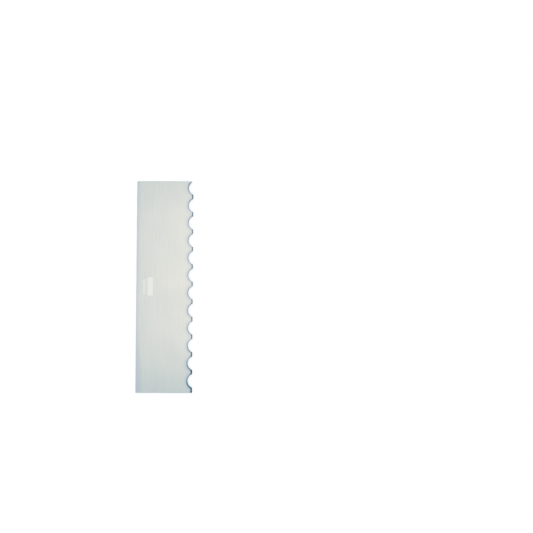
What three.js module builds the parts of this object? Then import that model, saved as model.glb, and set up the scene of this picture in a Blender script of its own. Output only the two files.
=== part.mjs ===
// A cake side scraper: one flat sheet with a straight edge and a notched edge.
// Millimetres, +Z up. It lies on its back: the sheet is in X and Y, and its front face looks up.
// The origin is the middle of the back face. The notched edge is at +X and the top end is at +Y.
import * as THREE from "three";

// Driving dimensions
const BLADE_LENGTH = 255; // end to end
const BLADE_WIDTH = 67.6; // from the straight edge to the tips of the teeth
const SHEET_THICKNESS = 2;
const NOTCH_WIDTH = 16; // mouth of a notch, measured along the tips
const NOTCH_DEPTH = 5.4; // from the line of the tips to the bottom of a notch
const TOOTH_WIDTH = 5.15; // land between two notches
const TOP_LAND = 0.1; // what the top end leaves of the tooth above the first notch
const CORNER_RADIUS = 0.5; // round on every outer corner of the outline
const EDGE_BREAK = 0.25; // chamfer that takes the burr off both faces
const ROUND_STEP = 1; // longest facet on a round stretch
const ROUND_TURN = Math.PI / 10; // largest turn from one facet to the next

// Sizes that follow from them
const topY = BLADE_LENGTH / 2;
const tipX = BLADE_WIDTH / 2;
const notchPitch = NOTCH_WIDTH + TOOTH_WIDTH;
const notchCount = Math.floor((BLADE_LENGTH - TOP_LAND) / notchPitch);
const notchRadius = (NOTCH_WIDTH ** 2 / 4 + NOTCH_DEPTH ** 2) / (2 * NOTCH_DEPTH);
const notchX = tipX - NOTCH_DEPTH + notchRadius;
const topNotchY = topY - TOP_LAND - NOTCH_WIDTH / 2;
const cornerRadius = Math.min(CORNER_RADIUS, TOOTH_WIDTH / 2);
const edgeBreak = Math.min(EDGE_BREAK, SHEET_THICKNESS / 4, cornerRadius / 2);

// Points along a circular arc, close enough together for its radius
function arc(x, y, radius, from, to) {
  const turn = Math.abs(to - from);
  const steps = Math.ceil(Math.max(turn / ROUND_TURN, (turn * radius) / ROUND_STEP));
  return new THREE.EllipseCurve(x, y, radius, radius, from, to, to < from).getPoints(steps);
}

// One notch, from the tooth below it to the tooth above it. Each tooth's corner is a small round that runs
// smoothly into the notch: its centre lies one notch radius plus one corner radius from the notch's centre.
function notch(centreY) {
  const reach = notchRadius + cornerRadius;
  const across = notchX - tipX + cornerRadius;
  const along = Math.sqrt(reach ** 2 - across ** 2);
  const lowTurn = Math.atan2(along, across);

  // Under the top end the land can be too narrow for two corners, so one round then serves both.
  const highAlong = Math.min(along, topY - cornerRadius - centreY);
  const highAcross = Math.sqrt(reach ** 2 - highAlong ** 2);
  const highTurn = Math.atan2(highAlong, highAcross);

  return [
    ...arc(tipX - cornerRadius, centreY - along, cornerRadius, 0, lowTurn),
    ...arc(notchX, centreY, notchRadius, Math.PI + lowTurn, Math.PI - highTurn),
    ...arc(notchX - highAcross, centreY + highAlong, cornerRadius, -highTurn, 0),
  ];
}

// The outline of the sheet, counter-clockwise from the bottom of the straight edge
function bladeOutline() {
  const left = cornerRadius - tipX;
  const right = tipX - cornerRadius;
  const low = cornerRadius - topY;
  const high = topY - cornerRadius;
  const notches = [];
  for (let i = notchCount - 1; i >= 0; i -= 1) {
    notches.push(...notch(topNotchY - i * notchPitch));
  }
  const topRight = notches.at(-1).x - cornerRadius;
  const points = [
    ...arc(left, low, cornerRadius, Math.PI, 1.5 * Math.PI),
    ...arc(right, low, cornerRadius, 1.5 * Math.PI, 2 * Math.PI),
    ...notches,
    ...arc(topRight, high, cornerRadius, 0, Math.PI / 2),
    ...arc(left, high, cornerRadius, Math.PI / 2, Math.PI),
  ];
  const sameSpot = 1e-3;
  return points.filter((point, i) => point.distanceTo(points.at(i - 1)) > sameSpot);
}

// The sheet, cut along the outline and broken along every edge
function scraperBlade() {
  const geometry = new THREE.ExtrudeGeometry(new THREE.Shape(bladeOutline()), {
    depth: SHEET_THICKNESS - 2 * edgeBreak,
    bevelEnabled: true,
    bevelThickness: edgeBreak,
    bevelSize: edgeBreak,
    bevelOffset: -edgeBreak,
    bevelSegments: 1,
  });
  const satinSteel = new THREE.MeshStandardMaterial({
    color: 0xdadcd7,
    roughness: 0.4,
    metalness: 1,
  });
  const blade = new THREE.Mesh(geometry, satinSteel);
  blade.name = "scraper_blade";
  blade.position.z = edgeBreak;
  return blade;
}

const scraper = new THREE.Group();
scraper.name = "cake_side_scraper";
scraper.add(scraperBlade());

export default scraper;
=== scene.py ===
"""A cake side scraper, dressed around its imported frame: one notched sheet of satin steel."""

import math

import bpy
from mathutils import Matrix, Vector


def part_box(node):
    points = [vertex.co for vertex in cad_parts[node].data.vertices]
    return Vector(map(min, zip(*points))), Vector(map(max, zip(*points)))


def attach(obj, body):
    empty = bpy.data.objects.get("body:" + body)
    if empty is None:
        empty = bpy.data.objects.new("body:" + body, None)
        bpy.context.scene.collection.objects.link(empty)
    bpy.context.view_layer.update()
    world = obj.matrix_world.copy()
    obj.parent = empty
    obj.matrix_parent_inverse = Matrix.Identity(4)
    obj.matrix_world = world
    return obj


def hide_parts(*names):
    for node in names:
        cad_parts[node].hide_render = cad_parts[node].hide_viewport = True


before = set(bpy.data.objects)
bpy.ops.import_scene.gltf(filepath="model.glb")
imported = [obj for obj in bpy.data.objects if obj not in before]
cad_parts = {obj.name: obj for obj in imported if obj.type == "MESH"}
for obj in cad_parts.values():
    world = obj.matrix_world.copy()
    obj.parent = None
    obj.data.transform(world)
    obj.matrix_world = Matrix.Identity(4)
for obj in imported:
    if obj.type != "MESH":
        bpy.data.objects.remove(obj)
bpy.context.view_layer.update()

# The blade
# One sheet of stainless steel with a straight left edge, square ends and a row of round notches on the
# right. It is cut to its whole outline in one pass, and its sharp edges are then rounded off by hand.

blade_low, blade_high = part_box("scraper_blade")
sheet_thickness = blade_high.z - blade_low.z
notch_width = 0.016
notch_depth = 0.0054
tooth_width = 0.00515
top_land = 0.0001
corner_radius = 0.0005
edge_round = 0.0004
notch_steps = 36
corner_steps = 7
edge_round_steps = 5
sharp_from = math.radians(60)
same_spot = 1e-5

notch_pitch = notch_width + tooth_width
notch_count = int((blade_high.y - blade_low.y - top_land) / notch_pitch)
notch_radius = (notch_width**2 / 4 + notch_depth**2) / (2 * notch_depth)
notch_x = blade_high.x - notch_depth + notch_radius
top_notch_y = blade_high.y - top_land - notch_width / 2


def draw_to(point, x, y):
    """Draws a straight edge from the selected vertex at point to x, y."""
    step = (x - point[0], y - point[1], 0)
    bpy.ops.mesh.extrude_vertices_move(TRANSFORM_OT_translate={"value": step})
    return x, y


def draw_arc(point, x, y, turn, steps):
    """Draws an arc from the selected vertex at point, about x, y, counter-clockwise for a positive turn."""
    spin_axis = (0, 0, -1 if turn > 0 else 1)
    centre = (x, y, blade_low.z)
    bpy.ops.mesh.spin(steps=steps, angle=abs(turn), center=centre, axis=spin_axis)
    along, across = point[0] - x, point[1] - y
    return (
        x + along * math.cos(turn) - across * math.sin(turn),
        y + along * math.sin(turn) + across * math.cos(turn),
    )


def draw_notch(point, centre_y):
    """Draws one notch, from the tooth below it to the tooth above it, with a small round at each corner."""
    reach = notch_radius + corner_radius
    across = notch_x - blade_high.x + corner_radius
    along = math.sqrt(reach**2 - across**2)
    low_turn = math.atan2(along, across)

    # Under the top end the land is too narrow for two corners, so one round serves both.
    high_along = min(along, blade_high.y - corner_radius - centre_y)
    high_across = math.sqrt(reach**2 - high_along**2)
    high_turn = math.atan2(high_along, high_across)

    point = draw_to(point, blade_high.x, centre_y - along)
    point = draw_arc(point, blade_high.x - corner_radius, centre_y - along, low_turn, corner_steps)
    point = draw_arc(point, notch_x, centre_y, -low_turn - high_turn, notch_steps)
    return draw_arc(point, notch_x - high_across, centre_y + high_along, high_turn, corner_steps)


left, right = blade_low.x + corner_radius, blade_high.x - corner_radius
bottom, top = blade_low.y + corner_radius, blade_high.y - corner_radius
quarter_turn = math.pi / 2

bpy.ops.object.select_all(action="DESELECT")
bpy.ops.mesh.primitive_plane_add(size=corner_radius, location=(blade_low.x, bottom, blade_low.z))
blade = bpy.context.object
blade.name = "steel_blade"
bpy.ops.object.mode_set(mode="EDIT")
bpy.ops.mesh.merge(type="CENTER")
pen = draw_arc((blade_low.x, bottom), left, bottom, quarter_turn, corner_steps)
pen = draw_to(pen, right, blade_low.y)
pen = draw_arc(pen, right, bottom, quarter_turn, corner_steps)
for i in reversed(range(notch_count)):
    pen = draw_notch(pen, top_notch_y - i * notch_pitch)
pen = draw_arc(pen, pen[0] - corner_radius, top, quarter_turn, corner_steps)
pen = draw_to(pen, left, blade_high.y)
pen = draw_arc(pen, left, top, quarter_turn, corner_steps)
draw_to(pen, blade_low.x, bottom)

# The outline ends where it began, but for a rounding error. Merging the two points closes it, and without
# that the bevel below would shrink to the gap between them.
bpy.ops.mesh.select_all(action="SELECT")
bpy.ops.mesh.remove_doubles(threshold=same_spot)
bpy.ops.mesh.edge_face_add()

# Cuts across the middle of each tooth, and one behind the notches, keep the faces of the sheet small.
for i in range(notch_count - 1):
    bpy.ops.mesh.select_all(action="SELECT")
    bpy.ops.mesh.bisect(plane_co=(0, top_notch_y - (i + 0.5) * notch_pitch, 0), plane_no=(0, 1, 0))
bpy.ops.mesh.select_all(action="SELECT")
bpy.ops.mesh.bisect(plane_co=(blade_high.x - 2 * notch_depth, 0, 0), plane_no=(1, 0, 0))
bpy.ops.mesh.select_all(action="SELECT")
bpy.ops.mesh.extrude_region_move(TRANSFORM_OT_translate={"value": (0, 0, sheet_thickness)})
bpy.ops.mesh.select_all(action="SELECT")
bpy.ops.mesh.normals_make_consistent(inside=False)
bpy.ops.mesh.select_mode(type="EDGE")
bpy.ops.mesh.select_all(action="DESELECT")
bpy.ops.mesh.edges_select_sharp(sharpness=sharp_from)
bpy.ops.mesh.bevel(offset=edge_round, segments=edge_round_steps, affect="EDGES", clamp_overlap=True)
bpy.ops.object.mode_set(mode="OBJECT")
bpy.ops.object.transform_apply(location=True, rotation=True, scale=True)


def bare_steel(name):
    """A metal material with its node tree and shader, ready for a finish."""
    material = bpy.data.materials.new(name)
    material.use_nodes = True
    shader = material.node_tree.nodes["Principled BSDF"]
    shader.inputs["Metallic"].default_value = 1
    return material, material.node_tree, shader


def feed(tree, socket, value):
    """Gives a socket a value: another socket to follow, a colour or a number."""
    if isinstance(value, bpy.types.NodeSocket):
        tree.links.new(value, socket)
    elif isinstance(value, tuple):
        socket.default_value = (*value, 1)
    else:
        socket.default_value = value


def own_axes(tree):
    """The X, Y and Z of a point on the piece, in metres."""
    place = tree.nodes.new("ShaderNodeTexCoord")
    axes = tree.nodes.new("ShaderNodeSeparateXYZ")
    tree.links.new(place.outputs["Object"], axes.inputs["Vector"])
    return axes.outputs["X"], axes.outputs["Y"], axes.outputs["Z"]


def calc(tree, operation, first, second=0.0):
    """One step of arithmetic on sockets and numbers."""
    step = tree.nodes.new("ShaderNodeMath")
    step.operation = operation
    feed(tree, step.inputs[0], first)
    feed(tree, step.inputs[1], second)
    return step.outputs[0]


def slant(tree, along, across):
    """The straight distance over two legs at right angles."""
    squares = [calc(tree, "MULTIPLY", leg, leg) for leg in (along, across)]
    return calc(tree, "SQRT", calc(tree, "ADD", *squares))


def spread(tree, source, start, end, low, high):
    """Runs from low to high while the source goes from start to end, and stays level beyond them."""
    curve = tree.nodes.new("ShaderNodeMapRange")
    curve.interpolation_type = "SMOOTHSTEP"
    for name, value in (("From Min", start), ("From Max", end), ("To Min", low), ("To Max", high)):
        curve.inputs[name].default_value = value
    tree.links.new(source, curve.inputs["Value"])
    return curve.outputs["Result"]


def blend(tree, factor, first, second):
    """A colour between two others. A colour mix has its factor at socket 0 and its colours at 6 and 7."""
    mix = tree.nodes.new("ShaderNodeMix")
    mix.data_type = "RGBA"
    feed(tree, mix.inputs[0], factor)
    feed(tree, mix.inputs[6], first)
    feed(tree, mix.inputs[7], second)
    return mix.outputs[2]


def specks(tree, cycles, detail, turn=0.0):
    """Noise on the piece's own coordinates, with its cycles a metre along X, Y and Z, turned about Z."""
    place = tree.nodes.new("ShaderNodeTexCoord")
    stretch = tree.nodes.new("ShaderNodeMapping")
    stretch.vector_type = "TEXTURE"
    stretch.inputs["Scale"].default_value = [1 / count for count in cycles]
    stretch.inputs["Rotation"].default_value = (0, 0, turn)
    noise = tree.nodes.new("ShaderNodeTexNoise")
    noise.inputs["Scale"].default_value = 1
    noise.inputs["Detail"].default_value = detail
    tree.links.new(place.outputs["Object"], stretch.inputs["Vector"])
    tree.links.new(stretch.outputs["Vector"], noise.inputs["Vector"])
    return noise.outputs["Fac"]


def grain(tree, cycles, detail, low=0.0, high=1.0):
    """Noise drawn out to run the whole way from low to high. Most of it lies between 0.3 and 0.7 before."""
    return spread(tree, specks(tree, cycles, detail), 0.3, 0.7, low, high)


def ridges(tree, source, depth, shader):
    """Raises the surface by up to depth, in metres, where the source is high."""
    bump = tree.nodes.new("ShaderNodeBump")
    bump.inputs["Distance"].default_value = depth
    tree.links.new(source, bump.inputs["Height"])
    tree.links.new(bump.outputs["Normal"], shader.inputs["Normal"])


# Painted shade on the notched edge, standing in for its shaded cut side and the shadow beside it: pale
# along the middle of the blade, blue towards both ends, most of all on the flanks that face its middle, and
# dark on the tips.
top_blue_start, top_blue_full = blade_high.y - 0.0295, blade_high.y - 0.0075
bottom_blue_start, bottom_blue_full = blade_low.y + 0.0875, blade_low.y
blue_share = 0.6
flank_reach = 0.005
flank_share = 0.2
horn_height = 0.003
patch_cycles = (90, 90, 90)
patch_share = 0.1
tip_start = notch_width / 2 - 0.0002
tip_full = notch_width / 2 + 0.0003
tip_share = 0.66
tip_blue_share = 0.55


def below_notch(tree):
    """How far a point lies below the middle of its nearest notch, negative above it."""
    _, y, _ = own_axes(tree)
    down = calc(tree, "SUBTRACT", top_notch_y, y)
    row = calc(tree, "ROUND", calc(tree, "DIVIDE", down, notch_pitch))
    row = calc(tree, "MINIMUM", row, notch_count - 1)
    return calc(tree, "SUBTRACT", down, calc(tree, "MULTIPLY", row, notch_pitch))


def behind_notches(tree):
    """How far a point lies behind the notched edge: behind its nearest notch or the line of the tips."""
    x, _, _ = own_axes(tree)
    from_middle = slant(tree, below_notch(tree), calc(tree, "SUBTRACT", x, notch_x))
    behind_notch = calc(tree, "SUBTRACT", from_middle, notch_radius)
    return calc(tree, "MINIMUM", behind_notch, calc(tree, "SUBTRACT", blade_high.x, x))


def painted_edge_shade(tree, pale, blue, dark):
    """The painted shade on the notched edge, for its shaded cut side. The thin horn at the top end stays
    pale.
    """
    _, y, _ = own_axes(tree)
    below = below_notch(tree)
    flank = spread(tree, below, -flank_reach, flank_reach, -flank_share, flank_share)
    top_blue = spread(tree, y, top_blue_start, top_blue_full, 0, 1)
    top_blue = calc(tree, "MULTIPLY", top_blue, calc(tree, "SUBTRACT", blue_share, flank))
    bottom_blue = spread(tree, y, bottom_blue_full, bottom_blue_start, 1, 0)
    bottom_blue = calc(tree, "MULTIPLY", bottom_blue, calc(tree, "ADD", blue_share, flank))
    horn = spread(tree, y, blade_high.y - horn_height, blade_high.y, 0, -1)
    blueness = grain(tree, patch_cycles, 2, -patch_share, patch_share)
    for part in (top_blue, bottom_blue, horn):
        blueness = calc(tree, "ADD", blueness, part)
    on_tips = spread(tree, calc(tree, "ABSOLUTE", below), tip_start, tip_full, 0, 1)
    darkness = calc(tree, "ADD", calc(tree, "MULTIPLY", blueness, tip_blue_share), tip_share)
    return blend(tree, calc(tree, "MULTIPLY", on_tips, darkness), blend(tree, blueness, pale, blue), dark)


# Both faces are brushed along the length and have a few stray scratches. Painted shade lies on them as a
# narrow dark band behind the notches, wider towards the bottom, with a faint painted reflection, darker and
# bluer, behind it. The straight edge has a like painted reflection, and that widens towards the bottom too.
line_cycles = (5200, 40, 5200)
line_dark, line_light = (0.59, 0.597, 0.575), (0.71, 0.717, 0.695)
line_depth = 5e-6
line_dullness = 0.04
streak_cycles = (420, 5, 420)
streak_dark, streak_light = (0.649, 0.656, 0.636), (0.661, 0.668, 0.649)
streak_share = 0.5
scratch_cycles = (1300, 14, 1300)
scratch_turn = math.radians(17)
scratch_start, scratch_full = 0.72, 0.77
scratch_share = 0.4
scratch_colour = (0.80, 0.805, 0.79)
smudge_cycles = (26, 26, 26)
smudge_gloss, smudge_dull = 0.298, 0.332
# The colours and widths below are of the painted shade behind the notches and of a painted reflection,
# darker and bluer, behind it and along the straight edge.
shade_pale, shade_blue, shade_dark = (0.435, 0.49, 0.55), (0.055, 0.225, 0.33), (0.002, 0.07, 0.135)
shade_solid = 0.0006
shade_width = 0.0015
shade_more = 0.0005
waver_cycles = (260, 260, 260)
waver_reach = 0.0002
painted_reflection_colour = (0.55, 0.58, 0.63)
notch_reflection_width = 0.0055
edge_reflection_width = 0.0052
edge_reflection_width_bottom = 0.0115
edge_reflection_rise = 0.09
edge_reflection_share = 0.9

satin, tree, shader = bare_steel("satin_steel")
blade_x, blade_y, _ = own_axes(tree)
brush_lines = grain(tree, line_cycles, 3)
lined = blend(tree, brush_lines, line_dark, line_light)
streaked = blend(tree, grain(tree, streak_cycles, 2), streak_dark, streak_light)
brushed = blend(tree, streak_share, lined, streaked)
scratches = specks(tree, scratch_cycles, 1, scratch_turn)
scratches = spread(tree, scratches, scratch_start, scratch_full, 0, scratch_share)
scratched = blend(tree, scratches, brushed, scratch_colour)

waver = grain(tree, waver_cycles, 2, -waver_reach, waver_reach)
wider = spread(tree, blade_y, bottom_blue_full, bottom_blue_start, -shade_more, 0)
shade_depth = calc(tree, "ADD", behind_notches(tree), calc(tree, "ADD", waver, wider))
# A faint painted reflection, darker and bluer, behind the painted shade along the notches.
painted_notch_reflection = spread(tree, shade_depth, 0, notch_reflection_width, 1, 0)
with_notch_reflection = blend(tree, painted_notch_reflection, scratched, painted_reflection_colour)
# Painted shade in a narrow band behind the notched edge, standing in for its shaded cut side.
painted_shade = painted_edge_shade(tree, shade_pale, shade_blue, shade_dark)
with_painted_shade = blend(tree, spread(tree, shade_depth, shade_solid, shade_width, 1, 0), with_notch_reflection, painted_shade)

# A painted reflection, darker and bluer, along the straight edge, widening towards the bottom.
edge_reflection_top = blade_low.y + edge_reflection_rise
edge_reflection_reach = spread(tree, blade_y, blade_low.y, edge_reflection_top, edge_reflection_width_bottom, edge_reflection_width)
from_edge = calc(tree, "SUBTRACT", blade_x, blade_low.x)
painted_edge_reflection = spread(tree, calc(tree, "DIVIDE", from_edge, edge_reflection_reach), 0, 1, edge_reflection_share, 0)
feed(tree, shader.inputs["Base Color"], blend(tree, painted_edge_reflection, with_painted_shade, painted_reflection_colour))

smudges = grain(tree, smudge_cycles, 4, smudge_gloss, smudge_dull)
dull_lines = calc(tree, "MULTIPLY", brush_lines, line_dullness)
feed(tree, shader.inputs["Roughness"], calc(tree, "ADD", smudges, dull_lines))
shader.inputs["Anisotropic"].default_value = 0.5
direction = tree.nodes.new("ShaderNodeTangent")
direction.direction_type = "UV_MAP"
direction.uv_map = "brush_lines"
tree.links.new(direction.outputs["Tangent"], shader.inputs["Tangent"])
ridges(tree, brush_lines, line_depth, shader)
blade.data.materials.append(satin)

# The notched side is dull, with lines that run from face to face. Its blue-grey and dark colour, which
# varies along the edge as on the face, is painted shade.
drag_cycles = (2200, 2200, 150)
drag_depth = 2e-5
rough_pale, rough_blue, rough_dark = (0.13, 0.18, 0.22), (0.05, 0.115, 0.15), (0.012, 0.042, 0.062)
clean_pale, clean_blue, clean_dark = (0.26, 0.325, 0.375), (0.11, 0.21, 0.27), (0.035, 0.09, 0.125)
cut_steel, tree, shader = bare_steel("cut_notches")
drag_lines = grain(tree, drag_cycles, 3)
# The cut side carries the same painted shade: bluer towards the ends, darker on the flanks that face the
# middle and on the tips.
rough_cut = painted_edge_shade(tree, rough_pale, rough_blue, rough_dark)
clean_cut = painted_edge_shade(tree, clean_pale, clean_blue, clean_dark)
feed(tree, shader.inputs["Base Color"], blend(tree, drag_lines, rough_cut, clean_cut))
shader.inputs["Roughness"].default_value = 0.5
shader.inputs["Specular Tint"].default_value = (0.35, 0.42, 0.48, 1)
ridges(tree, drag_lines, drag_depth, shader)
blade.data.materials.append(cut_steel)

# The straight edge and the ends are ground bright, with fine lines along the edge.
grinding_cycles = (50, 50, 5000)
grinding_depth = 8e-6
ground_dark, ground_light = (0.38, 0.41, 0.45), (0.60, 0.63, 0.67)
ground_steel, tree, shader = bare_steel("ground_edges")
grinding = grain(tree, grinding_cycles, 3)
feed(tree, shader.inputs["Base Color"], blend(tree, grinding, ground_dark, ground_light))
shader.inputs["Roughness"].default_value = 0.36
ridges(tree, grinding, grinding_depth, shader)
blade.data.materials.append(ground_steel)

# A face that lies flat is satin, by the upright share of its normal. On the notched side the flatter part
# of the rounded edge is satin too, with the painted shade on it, and what is steeper is cut. On the other
# sides all of the rounded edge is ground.
notched_side = 0.25
flat, part_round = 0.99, 0.5
for face in blade.data.polygons:
    sideways = math.hypot(face.normal.x, face.normal.y)
    on_notches = face.normal.x > notched_side * sideways
    if abs(face.normal.z) > (part_round if on_notches else flat):
        finish = satin
    elif on_notches:
        finish = cut_steel
    else:
        finish = ground_steel
    face.material_index = blade.data.materials.find(finish.name)

# Two blank strips are etched a hair's breadth into the front face, where a mark would be. They are frosted,
# the narrow one more lightly. Each has its left, right, bottom and top here.
narrow_strip = (-0.0262, -0.0226, -0.0096, 0.0090)
wide_strip = (-0.0204, -0.0139, -0.0108, 0.0110)
strip_corner = 0.0007
strip_corner_steps = 6
etch_depth = 0.00003
pit_cycles = (1800, 1800, 1800)
pit_depth = 6e-6
light_frost = (0.72, 0.725, 0.695), (0.79, 0.795, 0.765)
full_frost = (0.78, 0.77, 0.735), (0.86, 0.85, 0.81)
frosted, tree, shader = bare_steel("frosted_etch")
pits = specks(tree, pit_cycles, 2)
strip_x, _, _ = own_axes(tree)
on_wide_strip = spread(tree, strip_x, narrow_strip[1], wide_strip[0], 0, 1)
frost = blend(tree, on_wide_strip, blend(tree, pits, *light_frost), blend(tree, pits, *full_frost))
feed(tree, shader.inputs["Base Color"], frost)
shader.inputs["Roughness"].default_value = 0.42
ridges(tree, pits, pit_depth, shader)
for strip_left, strip_right, strip_bottom, strip_top in (narrow_strip, wide_strip):
    bpy.ops.object.select_all(action="DESELECT")
    bpy.ops.mesh.primitive_cube_add(
        size=1,
        location=((strip_left + strip_right) / 2, (strip_bottom + strip_top) / 2, blade_high.z),
        scale=(strip_right - strip_left, strip_top - strip_bottom, 2 * etch_depth),
    )
    cutter = bpy.context.object
    cutter.data.materials.append(frosted)
    bpy.ops.object.transform_apply(location=True, rotation=True, scale=True)
    bpy.ops.object.mode_set(mode="EDIT")
    bpy.ops.mesh.select_mode(type="EDGE")
    bpy.ops.mesh.select_all(action="DESELECT")
    bpy.ops.object.mode_set(mode="OBJECT")

    # Its four upright edges are the rounded corners of the strip.
    for edge in cutter.data.edges:
        low, high = (cutter.data.vertices[i].co for i in edge.vertices)
        edge.select = abs(high.z - low.z) > etch_depth
    bpy.ops.object.mode_set(mode="EDIT")
    bpy.ops.mesh.bevel(offset=strip_corner, segments=strip_corner_steps, affect="EDGES")
    bpy.ops.object.mode_set(mode="OBJECT")

    bpy.ops.object.select_all(action="DESELECT")
    blade.select_set(True)
    bpy.context.view_layer.objects.active = blade
    bpy.ops.object.modifier_add(type="BOOLEAN")
    blade.modifiers[-1].object = cutter
    blade.modifiers[-1].solver = "EXACT"
    blade.modifiers[-1].material_mode = "TRANSFER"
    bpy.ops.object.modifier_apply(modifier=blade.modifiers[-1].name)
    bpy.data.objects.remove(cutter)

# The rounded edges shade smoothly into the flat faces, which stay flat.
smooth_up_to = math.radians(40)
bpy.ops.object.shade_smooth_by_angle(angle=smooth_up_to)
bpy.ops.object.modifier_add(type="WEIGHTED_NORMAL")
blade.modifiers[-1].keep_sharp = True
bpy.ops.object.modifier_apply(modifier=blade.modifiers[-1].name)

# Reflections spread across the brush lines: this map gives the shader that direction.
brush_map = blade.data.uv_layers.new(name="brush_lines")
for loop in blade.data.loops:
    brush_map.data[loop.index].uv = blade.data.vertices[loop.vertex_index].co.xy

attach(blade, "root")
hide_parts("scraper_blade")

# The floor
# A smooth white table top, a hair below the blade. It fades out into the white surround, so that no far
# edge of it shows.

floor_size = 3
floor_gap = 0.0001
floor_white = 0.5
floor_glow = 0.62
fade_start, fade_end = 0.45, 1.2
bpy.ops.object.select_all(action="DESELECT")
bpy.ops.mesh.primitive_plane_add(size=floor_size, location=(0, 0, blade_low.z - floor_gap))
floor = bpy.context.object
floor.name = "floor"
table = bpy.data.materials.new("white_table")
table.use_nodes = True
tree = table.node_tree
tree.nodes.clear()
lit = tree.nodes.new("ShaderNodeBsdfDiffuse")
lit.inputs["Color"].default_value = (floor_white, floor_white, floor_white, 1)
path = tree.nodes.new("ShaderNodeLightPath")
seen = calc(tree, "ADD", path.outputs["Is Camera Ray"], path.outputs["Is Glossy Ray"])
seen = calc(tree, "MINIMUM", calc(tree, "ADD", seen, path.outputs["Is Transmission Ray"]), 1.0)
glow = tree.nodes.new("ShaderNodeEmission")
feed(tree, glow.inputs["Strength"], calc(tree, "MULTIPLY", seen, floor_glow))
white = tree.nodes.new("ShaderNodeAddShader")
tree.links.new(lit.outputs["BSDF"], white.inputs[0])
tree.links.new(glow.outputs["Emission"], white.inputs[1])
floor_x, floor_y, _ = own_axes(tree)
far = spread(tree, slant(tree, floor_x, floor_y), fade_start, fade_end, 0, 1)
clear = tree.nodes.new("ShaderNodeBsdfTransparent")
fading = tree.nodes.new("ShaderNodeMixShader")
tree.links.new(far, fading.inputs["Fac"])
tree.links.new(white.outputs["Shader"], fading.inputs[1])
tree.links.new(clear.outputs["BSDF"], fading.inputs[2])
surface = tree.nodes.new("ShaderNodeOutputMaterial")
tree.links.new(fading.outputs["Shader"], surface.inputs["Surface"])
floor.data.materials.append(table)

# The light
# A pale studio: white all round at eye level, greyer walls above that, darker on the right, a cool ceiling
# and a warm soft lamp overhead. Heights go from 0 at the horizon to 1 overhead.

surround = (1, 1, 1)
left_wall, right_wall = (0.80, 0.82, 0.84), (0.30, 0.34, 0.38)
right_wall_start, right_wall_full = -0.4, 0.8
wall_start, wall_full = 0.42, 0.7
ceiling = (0.615, 0.80, 0.875)
ceiling_start, ceiling_full = 0.75, 0.95
lamp_place = (-0.02, 0.035, 1.15)
lamp_width, lamp_length = 0.55, 0.72
lamp_watts = 1.28
lamp_colour = (1, 0.69, 0.50)

world = bpy.data.worlds.new("studio")
bpy.context.scene.world = world
world.use_nodes = True
tree = world.node_tree
outward = tree.nodes.new("ShaderNodeTexCoord")
toward = tree.nodes.new("ShaderNodeSeparateXYZ")
tree.links.new(outward.outputs["Generated"], toward.inputs["Vector"])
to_right, height = toward.outputs["X"], toward.outputs["Z"]
walls = blend(tree, spread(tree, to_right, right_wall_start, right_wall_full, 0, 1), left_wall, right_wall)
room = blend(tree, spread(tree, height, wall_start, wall_full, 0, 1), surround, walls)
room = blend(tree, spread(tree, height, ceiling_start, ceiling_full, 0, 1), room, ceiling)
feed(tree, tree.nodes["Background"].inputs["Color"], room)

bpy.ops.object.light_add(type="AREA", location=lamp_place)
lamp = bpy.context.object
lamp.name = "overhead_lamp"
lamp.data.shape = "RECTANGLE"
lamp.data.size = lamp_width
lamp.data.size_y = lamp_length
lamp.data.energy = lamp_watts
lamp.data.color = lamp_colour

# The camera
# Almost straight above the blade, which lies left of the middle of the frame and leans a little to the
# right. Places in the frame are in pixels.

photo_side = 533
blade_centre_px = (164.36, 286.6)
blade_length_px = 211.6
blade_lean = math.radians(0.2)
camera_tilt = math.radians(1.45)
camera_lens = 35

bpy.ops.object.camera_add(rotation=(camera_tilt, 0, blade_lean))
camera = bpy.context.object
camera.data.lens = camera_lens
lens_px = photo_side * camera_lens / camera.data.sensor_width
to_blade = Vector((
    (blade_centre_px[0] - photo_side / 2) / lens_px,
    (photo_side / 2 - blade_centre_px[1]) / lens_px,
    -1,
))
to_blade.rotate(camera.rotation_euler)
distance = (blade_high.y - blade_low.y) * lens_px / blade_length_px
blade_centre = Vector((0, 0, blade_high.z))
camera.location = blade_centre - distance * to_blade
bpy.context.scene.camera = camera
bpy.context.scene.view_settings.view_transform = "Standard"
